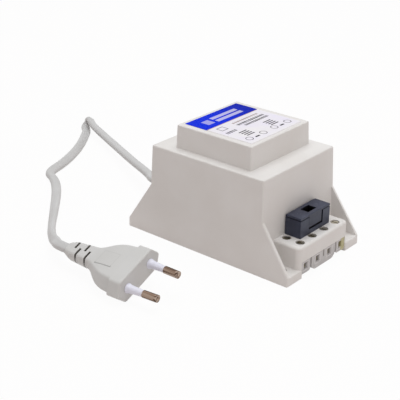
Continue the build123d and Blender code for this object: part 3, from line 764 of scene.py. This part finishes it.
@dataclass(frozen=True)
class ClearTube:
    """Clear glass with faint drawing lines along the tube."""

    name: str
    colour: Colour
    line_size: float = 0.0006
    line_stretch: tuple[float, float, float] = (1, 20, 1)
    line_soft: float = 0.3
    roughness: float = 0.02
    line_rough: float = 0.05
    index: float = 1.5
    clearness: float = 0.95

    def make(self) -> bpy.types.Material:
        """Make the finish.

        Returns:
            The material.
        """
        paint = Paint(self.name)
        lines = paint.noise(self.line_size, 1, self.line_stretch)
        return paint.close(
            {
                "Base Color": paint.mix(lines.over(MIDDLE, self.line_soft), self.colour, WHITE),
                "Roughness": self.roughness + lines * self.line_rough,
                "IOR": self.index,
                "Transmission Weight": self.clearness,
            }
        )


@dataclass(frozen=True)
class PrintedFilm:
    """The label: a pale film with a coloured band, rows of plain bars, a square and rings.

    The marks are given in millimetres. A row has a box, the pitch of its blocks and their offset.
    """

    name: str
    film: Colour
    rim: Colour
    band: Colour
    band_far: Colour
    stripe: Colour
    ink: Colour
    warm_ink: Colour
    roughness: float = 0.38
    specular: float = 0.02
    weave_size: float = 0.0011
    weave_rough: float = 0.16
    weave_depth: float = 0.000008
    cloud_size: float = 0.012
    cloud_soft: float = 0.25
    soft: float = 0.12 * MM
    edge_x: float = 20.4 * MM
    edge_y: float = 21.0 * MM
    edge_soft: float = 0.7 * MM
    edge_share: float = 0.8
    band_front: float = -7.75 * MM
    fade_middle: float = 8.0 * MM
    fade_half: float = 16.0 * MM
    stripe_box: Box = ((-8.15, -22.20), (-7.25, 21.00))
    stripe_share: float = 0.8
    band_bars: tuple[Box, ...] = (((-18.35, -7.60), (-15.55, 14.00)), ((-14.15, -7.60), (-11.35, 14.00)))
    bar_share: float = 0.6
    band_square: Box = ((-17.55, -15.40), (-11.75, -10.00))
    square_share: float = 0.45
    rows: tuple[Row, ...] = (
        (((-1.25, -5.80), (0.75, 17.20)), 1.9, 1.7),
        (((1.85, -2.80), (3.75, 17.40)), 1.7, 5.2),
        (((2.45, -19.20), (4.65, -11.20)), 1.8, 9.6),
    )
    # The shift keeps the numbers of a row's blocks above zero.
    row_shift: float = 100.0
    block_level: float = -0.62
    block_soft: float = 0.3
    block_least: float = 0.7
    ink_share: float = 0.95
    warm_row: Row = (((-4.45, -5.80), (-2.75, 16.60)), 2.0, 11.3)
    warm_share: float = 0.75
    line_starts: tuple[float, ...] = (-14.2, 6.8)
    line_places: tuple[float, ...] = (7.25, 9.05, 10.85, 12.65)
    line_size: tuple[float, float] = (0.85, 6.4)
    pairs: tuple[tuple[float, float], ...] = ((16.75, -16.8), (16.35, 5.2))
    ring_radius: float = 2.0
    ring_half_line: float = 0.2
    ring_pitch: float = 11.8
    dash: Box = ((0.3, 4.0), (1.5, 7.4))
    square_outside: Box = ((-5.15, -17.80), (-0.35, -12.60))
    square_inside: Box = ((-4.55, -17.20), (-0.95, -13.20))
    outline_share: float = 0.7

    def bar(self, x: Number, y: Number, box: Box) -> Number:
        """Find the inside of a bar.

        Args:
            x: The first coordinate.
            y: The second coordinate.
            box: The bar's lowest and highest corners.

        Returns:
            The mask.
        """
        one, two = (
            along.between(start * MM, end * MM, self.soft) for along, start, end in zip((x, y), *box)
        )
        return one & two

    def row(self, paint: Paint, x: Number, y: Number, row: Row) -> Number:
        """Find the short blocks of a row, which are of uneven strength.

        Args:
            paint: The paint to add to.
            x: The first coordinate.
            y: The second coordinate, along the row.
            row: The row.

        Returns:
            The mask.
        """
        box, pitch, offset = row
        moved = y + (offset + self.row_shift) * MM
        gaps = moved.ripple(pitch * MM).over(self.block_level, self.block_soft)
        chance = paint.chance(moved.cell(pitch * MM) + offset)
        return self.bar(x, y, box) & gaps * (self.block_least + (1 - self.block_least) * chance)

    def ring(self, x: Number, y: Number, middle: Sequence[float]) -> Number:
        """Find the line of a thin ring.

        Args:
            x: The first coordinate.
            y: The second coordinate.
            middle: The ring's middle.

        Returns:
            The mask.
        """
        across, along = x - middle[0] * MM, y - middle[1] * MM
        reach = (across * across + along * along).root()
        low, high = self.ring_radius - self.ring_half_line, self.ring_radius + self.ring_half_line
        return reach.between(low * MM, high * MM, self.soft)

    def band_marks(self, x: Number, y: Number) -> Number:
        """Find the band's pale square and plain bars.

        Args:
            x: The first coordinate.
            y: The second coordinate.

        Returns:
            The mask.
        """
        bars = reduce(or_, [self.bar(x, y, box) for box in self.band_bars])
        return bars * self.bar_share | self.bar(x, y, self.band_square) * self.square_share

    def field_marks(self, paint: Paint, x: Number, y: Number) -> Number:
        """Find the dark rows, lines, rings, dashes and square on the pale field.

        Args:
            paint: The paint to add to.
            x: The first coordinate.
            y: The second coordinate.

        Returns:
            The mask.
        """
        marks = [self.row(paint, x, y, row) for row in self.rows]
        for start in self.line_starts:
            for line in self.line_places:
                end = (line + self.line_size[0], start + self.line_size[1])
                marks.append(self.bar(x, y, ((line, start), end)))
        for middle, start in self.pairs:
            low, high = ((middle + across, start + along) for across, along in self.dash)
            marks.append(self.ring(x, y, (middle, start)))
            marks.append(self.ring(x, y, (middle, start + self.ring_pitch)))
            marks.append(self.bar(x, y, (low, high)))
        outside, inside = self.bar(x, y, self.square_outside), self.bar(x, y, self.square_inside)
        marks.append((outside - inside) * self.outline_share)
        return reduce(or_, marks)

    def make(self) -> bpy.types.Material:
        """Make the finish.

        Returns:
            The material.
        """
        paint = Paint(self.name)
        x, y, _ = paint.axes()
        weave = paint.noise(self.weave_size, 2)
        clouds = paint.noise(self.cloud_size, 2)
        edge = abs(y).over(self.edge_y, self.edge_soft) | x.over(self.edge_x, self.edge_soft)
        band = paint.mix(y.over(self.fade_middle, self.fade_half), self.band, self.band_far)
        warm = self.row(paint, x, y, self.warm_row)
        colour = paint.mix(clouds.over(MIDDLE, self.cloud_soft), self.film, self.rim)
        colour = paint.mix(edge * self.edge_share, colour, self.rim)
        colour = paint.mix(self.bar(x, y, self.stripe_box) * self.stripe_share, colour, self.stripe)
        colour = paint.mix(x.under(self.band_front, self.soft), colour, band)
        colour = paint.mix(self.band_marks(x, y), colour, self.film)
        colour = paint.mix(self.field_marks(paint, x, y) * self.ink_share, colour, self.ink)
        colour = paint.mix(warm * self.warm_share, colour, self.warm_ink)
        return paint.close(
            {
                "Base Color": colour,
                "Roughness": self.roughness + weave * self.weave_rough,
                "Normal": paint.relief(weave * self.weave_depth),
                "Specular IOR Level": self.specular,
            }
        )


class Finish(Enum):
    """The finishes of the part."""

    CASING = Moulding("satin_casing", srgb(233, 231, 229), srgb(228, 225, 222), 0.46, Grain.SATIN)
    RESIN = Poured("poured_resin", srgb(92, 90, 86), srgb(112, 108, 102))
    CORE = Layers("stacked_steel", srgb(128, 128, 132), srgb(58, 56, 56), 2, 0.0005, 0.42, 0.9, 0.00004)
    BOBBIN = Moulding("natural_nylon", srgb(226, 221, 202), srgb(216, 209, 186), 0.5)
    COPPER = Layers("wound_copper", srgb(196, 112, 60), srgb(96, 44, 20), 1, 0.0006, 0.28, 0.9, 0.00012)
    TAPE = Layers("coil_wrap", srgb(226, 190, 66), srgb(196, 154, 40), 1, 0.0070, 0.3, 0.0, 0.00005)
    LEADS = Moulding("lead_skin", srgb(214, 212, 208), srgb(202, 199, 194), 0.5, Grain.POLISHED)
    TERMINAL = TerminalMoulding(
        "terminal_moulding", srgb(206, 204, 203), srgb(194, 192, 192), 0.4, cloud_size=0.006
    )
    BRASS = Metal("plain_brass", srgb(206, 172, 104), srgb(150, 116, 62), 0.3)
    CLAMP = Metal("plated_clamp", srgb(240, 234, 218), srgb(206, 194, 166), 0.5)
    SCREW = Metal("plated_screw", srgb(196, 190, 176), srgb(146, 132, 104), 0.32)
    FUSE = HolderMoulding("black_holder", srgb(57, 62, 81), srgb(45, 49, 66), 0.42, Grain.ERODED, 0.008, 0.35)
    GLASS = ClearTube("clear_tube", srgb(238, 244, 244))
    CAP = Metal("bright_cap", srgb(206, 206, 204), srgb(168, 164, 156), 0.22)
    WIRE = Metal("fine_wire", srgb(168, 166, 162), srgb(120, 116, 110), 0.35)
    LABEL = PrintedFilm(
        "printed_film",
        film=srgb(238, 234, 250),
        rim=srgb(242, 240, 243),
        band=srgb(4, 46, 224),
        band_far=srgb(6, 32, 172),
        stripe=srgb(176, 132, 96),
        ink=srgb(26, 24, 30),
        warm_ink=srgb(122, 86, 68),
    )
    SHEATH = Moulding("soft_sheath", srgb(206, 206, 206), srgb(199, 199, 198), 0.42, Grain.POLISHED)
    PLUG = PlugMoulding("plug_moulding", srgb(213, 213, 212), srgb(208, 208, 206), 0.5)
    # Of the pin's colours, the darker one is tarnish and dark painted reflection and the lightest is a
    # painted highlight.
    PIN = PlatedPin("plated_pin", srgb(137, 115, 100), srgb(82, 62, 50), srgb(176, 158, 144), 0.16)
    SLEEVE = Moulding("pin_sleeve_skin", srgb(240, 241, 253), srgb(233, 234, 247), 0.4, Grain.POLISHED)

    @cache
    def material(self) -> bpy.types.Material:
        """Give this finish's material, made the first time that it is asked for."""
        return self.value.make()


def dress(nodes: dict[str, Finish]) -> None:
    """Give CAD nodes their finishes and report each.

    Args:
        nodes: The finish of each node.
    """
    for name, finish in nodes.items():
        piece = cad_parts[name]
        if not piece.material_slots:
            piece.data.materials.append(None)
        for slot in piece.material_slots:
            slot.material = finish.material()
        log.info("%s: %s", name, finish.value.name)


@dataclass
class Housing:
    """The casing and its label."""

    shell: Finish = Finish.CASING
    film: Finish = Finish.LABEL

    def dress(self) -> None:
        """Give the nodes their finishes."""
        dress({"casing": self.shell, "rating_label": self.film})


@dataclass
class CoreAndCoil:
    """What is potted inside: core, bobbin, windings, leads and resin."""

    steel: Finish = Finish.CORE
    former: Finish = Finish.BOBBIN
    wire: Finish = Finish.COPPER
    wrap: Finish = Finish.TAPE
    leads: Finish = Finish.LEADS
    filling: Finish = Finish.RESIN

    def dress(self) -> None:
        """Give the nodes their finishes."""
        dress({"core_e_stack": self.steel, "core_i_stack": self.steel, "bobbin": self.former})
        for coil in ("primary", "secondary"):
            dress({f"{coil}_winding": self.wire, f"{coil}_tape": self.wrap, f"{coil}_leads": self.leads})
        dress({"potting_resin": self.filling})


@dataclass
class Terminals:
    """The row of output terminals under the shelf."""

    body: Finish = Finish.TERMINAL
    clamp: Finish = Finish.CLAMP
    screw: Finish = Finish.SCREW
    blocks: tuple[str, ...] = ("near", "pair", "far")

    def dress(self) -> None:
        """Give the nodes their finishes."""
        dress({f"terminal_block_{block}": self.body for block in self.blocks})
        dress({"terminal_clamps": self.clamp, "terminal_screws": self.screw})


@dataclass
class FuseHolder:
    """The holder on the shelf, its cover and the glass fuse in its clips."""

    box: Finish = Finish.FUSE
    contact: Finish = Finish.BRASS
    tube: Finish = Finish.GLASS
    cap: Finish = Finish.CAP
    wire: Finish = Finish.WIRE

    def dress(self) -> None:
        """Give the nodes their finishes."""
        dress({"fuse_base": self.box, "fuse_cover": self.box})
        dress({"fuse_blocks": self.contact, "fuse_clips": self.contact})
        dress({"fuse_glass": self.tube, "fuse_caps": self.cap, "fuse_wire": self.wire})


@dataclass
class MainsLead:
    """The flat cord with its boot and its plug."""

    width: float = 5.9 * MM
    thickness: float = 3.7 * MM
    length: float = 0.3658
    ring_sides: int = 28
    spline_order: int = 3
    steps_a_run: int = 12
    name: str = "flat_cord"
    on_cord: tuple[str, ...] = ("cord_boot", "plug_body", "plug_pins", "pin_sleeves")

    def route(self) -> list[tuple[float, float, float, float]]:
        """Give the points that lead the cord from its boot to its plug.

        Returns:
            Each point in millimetres, with the section's turn in degrees from flat to on edge.
        """
        return [
            # Out of the boot and down, over the return run
            (-61.7, 0.0, 14.0, 0),
            (-68.0, 0.0, 14.0, 0),
            (-77.8, 8.0, 11.9, 5),
            (-105.6, 21.0, 9.75, 5),
            (-134.5, 36.4, 7.0, 5),
            (-159.4, 48.1, 6.0, 10),
            # Round the fold
            (-177.2, 55.1, 7.2, 32),
            (-186.3, 62.3, 7.5, 40),
            (-188.8, 59.1, 2.1, 23),
            (-181.0, 53.5, 1.95, -10),
            # Back along the floor, with the kink
            (-174.9, 46.2, 2.3, -25),
            (-164.7, 33.0, 2.75, -46),
            (-156.4, 19.4, 2.7, -41),
            (-148.0, 0.9, 2.6, -35),
            (-143.8, -16.5, 2.4, -25),
            (-133.0, -20.3, 2.25, -16),
            (-118.9, -31.4, 2.0, -2),
            (-96.1, -54.7, 2.5, 31),
            # Up into the plug
            (-78.4, -72.7, 4.0, 60),
            (-67.0, -81.5, 5.9, 65),
            (-59.7, -85.6, 8.0, 50),
            (-52.09, -90.78, 10.63, 20),
            (-44.11, -90.28, 10.63, 20),
        ]

    def path(self) -> list[Vector]:
        """Lay a spline along the route and read the cord's smooth line from it.

        Returns:
            The points of the line, from the boot to the plug.
        """
        curve = bpy.data.curves.new("cord_route", "CURVE")
        curve.dimensions = "3D"
        spline = curve.splines.new("NURBS")
        route = [Vector(point[:3]) * MM for point in self.route()]
        spline.points.add(len(route) - 1)
        for point, place in zip(spline.points, route):
            point.co = (*place, 1.0)
        spline.order_u = self.spline_order
        spline.use_endpoint_u = True
        spline.resolution_u = self.steps_a_run
        holder = bpy.data.objects.new("cord_route", curve)
        line = bpy.data.meshes.new_from_object(holder)
        points = [vertex.co.copy() for vertex in line.vertices]
        bpy.data.objects.remove(holder)
        bpy.data.curves.remove(curve)
        bpy.data.meshes.remove(line)
        return points

    def frames(self, path: Sequence[Vector]) -> list[Matrix]:
        """Place the flat section along the path, level or turned on edge as the route says.

        Args:
            path: The cord's centre line.

        Returns:
            A matrix for each point, with X across the wide side and Z along the cord.
        """
        turns = [math.radians(point[3]) for point in self.route()]
        ends = [path[0], *path, path[-1]]
        frames = []
        for index, place in enumerate(path):
            tangent = (ends[index + 2] - ends[index]).normalized()
            run = index / (len(path) - 1) * (len(turns) - 1)
            first = min(int(run), len(turns) - 2)
            turn = turns[first] + (run - first) * (turns[first + 1] - turns[first])
            level = tangent.cross(Vector((0, 0, 1))).normalized()
            side = Matrix.Rotation(turn, 3, tangent) @ level
            up = tangent.cross(side)
            axes = Matrix((side, up, tangent)).transposed().to_4x4()
            frames.append(Matrix.Translation(place) @ axes)
        return frames

    def sweep(self, frames: Sequence[Matrix]) -> bpy.types.Mesh:
        """Draw the flat oval section through the frames.

        Args:
            frames: Where the section stands along the cord.

        Returns:
            The closed skin of the cord.
        """
        mesh = bmesh.new()
        turn = Matrix.Rotation(math.pi / self.ring_sides, 4, "Z")
        ring = bmesh.ops.create_circle(
            mesh, segments=self.ring_sides, radius=self.thickness / 2, matrix=turn
        )["verts"]
        spread = (self.width - self.thickness) / 2
        for vertex in ring:
            vertex.co.x += math.copysign(spread, vertex.co.x)
        bmesh.ops.transform(mesh, matrix=frames[0], verts=ring)
        loop = list(mesh.edges)
        bmesh.ops.contextual_create(mesh, geom=loop)
        for before, after in zip(frames, frames[1:]):
            made = bmesh.ops.extrude_edge_only(mesh, edges=loop)["geom"]
            fresh = {item for item in made if isinstance(item, bmesh.types.BMVert)}
            bmesh.ops.transform(mesh, matrix=after @ before.inverted(), verts=list(fresh))
            edges = [item for item in made if isinstance(item, bmesh.types.BMEdge)]
            loop = [edge for edge in edges if set(edge.verts) <= fresh]
        bmesh.ops.contextual_create(mesh, geom=loop)
        bmesh.ops.recalc_face_normals(mesh, faces=mesh.faces)
        for face in mesh.faces:
            face.smooth = len(face.verts) == 4
        data = bpy.data.meshes.new(self.name)
        mesh.to_mesh(data)
        mesh.free()
        return data

    def build(self) -> bpy.types.Object:
        """Returns:
            The cord.
        """
        path = self.path()
        cord = bpy.data.objects.new(self.name, self.sweep(self.frames(path)))
        bpy.context.scene.collection.objects.link(cord)
        cord.data.materials.append(Finish.SHEATH.material())
        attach(cord, BODY)
        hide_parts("cord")
        log.info("%s: %d rings", self.name, len(path))
        return cord

    def dress(self) -> None:
        """Give the nodes on the cord their finishes."""
        finishes = (Finish.SHEATH, Finish.PLUG, Finish.PIN, Finish.SLEEVE)
        dress(dict(zip(self.on_cord, finishes)) | {"cord": Finish.SHEATH})


@dataclass
class Lamp:
    """A soft square lamp that faces a point on the object."""

    name: str
    place: tuple[float, float, float]
    power: float
    size: float
    colour: Colour = WHITE
    target: tuple[float, float, float] = (-0.03, -0.02, 0.03)

    def build(self) -> None:
        """Add the lamp to the scene."""
        light = bpy.data.lights.new(self.name, "AREA")
        light.energy = self.power
        light.size = self.size
        light.color = self.colour
        lamp = bpy.data.objects.new(self.name, light)
        lamp.location = self.place
        aim = Vector(self.target) - Vector(self.place)
        lamp.rotation_euler = aim.to_track_quat("-Z", "Y").to_euler()
        bpy.context.scene.collection.objects.link(lamp)


def studio_lamps() -> list[Lamp]:
    """Choose the lamps of the studio.

    Returns:
        The lamps.
    """
    return [
        Lamp("overhead", (-0.05, 0.1, 1.3), 10.4, 1.0, (0.93, 0.975, 1.0)),
        Lamp("right_fill", (1.25, -0.5, 0.75), 2.2, 0.9, (1.0, 0.97, 0.95)),
    ]


@dataclass
class Studio:
    """Pale floor, soft light and the camera."""

    floor_half: float = 3.0
    floor_cells: int = 8
    floor_colour: Colour = (0.84, 0.795, 0.78)
    floor_glow: float = 0.95
    paper_grain: float = 0.004
    grain_share: float = 0.02
    room_colour: Colour = (1.0, 0.92, 0.885)
    room_strength: float = 0.402
    camera_place: tuple[float, float, float] = (0.31015, -0.40442, 0.25457)
    azimuth: float = math.radians(40.127)
    elevation: float = math.radians(24.664)
    roll: float = math.radians(-0.324)
    lens: float = 90.46
    sensor: float = 36.0
    near_clip: float = 0.01
    lamps: list[Lamp] = field(default_factory=studio_lamps)

    def build_camera(self) -> None:
        """Place the camera at the photograph's angle."""
        level = math.cos(self.elevation)
        back = Vector(
            (math.sin(self.azimuth) * level, -math.cos(self.azimuth) * level, math.sin(self.elevation))
        )
        right = Vector((0, 0, 1)).cross(back).normalized()
        turn = Matrix((right, back.cross(right), back)).transposed().to_4x4()
        data = bpy.data.cameras.new("camera")
        data.lens = self.lens
        data.sensor_width = self.sensor
        data.sensor_fit = "HORIZONTAL"
        data.clip_start = self.near_clip
        camera = bpy.data.objects.new("camera", data)
        camera.matrix_world = (
            Matrix.Translation(self.camera_place) @ turn @ Matrix.Rotation(-self.roll, 4, "Z")
        )
        bpy.context.scene.collection.objects.link(camera)
        bpy.context.scene.camera = camera

    def build_floor(self) -> None:
        """Lay the floor, which shows white but keeps a part of the object's shadow."""
        mesh = bmesh.new()
        cells = self.floor_cells
        bmesh.ops.create_grid(mesh, x_segments=cells, y_segments=cells, size=self.floor_half)
        data = bpy.data.meshes.new("floor")
        mesh.to_mesh(data)
        mesh.free()
        floor = bpy.data.objects.new("floor", data)
        bpy.context.scene.collection.objects.link(floor)
        paint = Paint("floor_paper")
        tone = paint.mix(paint.noise(self.paper_grain, 2) * self.grain_share, self.floor_colour, WHITE)
        paper = paint.node("ShaderNodeBsdfDiffuse", None, {"Color": tone})
        glow = paint.node("ShaderNodeEmission", None, {"Color": WHITE, "Strength": 1.0})
        share = paint.seen() * self.floor_glow
        parts = {0: share, 1: paper.outputs[0], 2: glow.outputs[0]}
        data.materials.append(paint.end(paint.node("ShaderNodeMixShader", None, parts)))

    def build_room(self) -> None:
        """Set the light of the room and the white that the camera sees behind the floor."""
        world = bpy.data.worlds.new("room")
        world.use_nodes = True
        nodes = Nodes(world.node_tree)
        soft = nodes.node(
            "ShaderNodeBackground", None, {"Color": self.room_colour, "Strength": self.room_strength}
        )
        white = nodes.node("ShaderNodeBackground", None, {"Color": WHITE, "Strength": 1.0})
        parts = {0: nodes.seen(), 1: soft.outputs[0], 2: white.outputs[0]}
        mixed = nodes.node("ShaderNodeMixShader", None, parts)
        nodes.node("ShaderNodeOutputWorld", None, {"Surface": mixed.outputs[0]})
        bpy.context.scene.world = world

    def build(self) -> None:
        """Set up the view, the camera, the floor and the light."""
        bpy.context.scene.view_settings.view_transform = "Standard"
        self.build_camera()
        self.build_floor()
        self.build_room()
        for lamp in self.lamps:
            lamp.build()


def main() -> None:
    """Build the studio and dress the transformer."""
    logging.basicConfig(level=logging.INFO, format="%(message)s")
    Studio().build()
    lead = MainsLead()
    lead.build()
    for assembly in (Housing(), CoreAndCoil(), Terminals(), FuseHolder(), lead):
        assembly.dress()


if __name__ == "__main__":
    main()
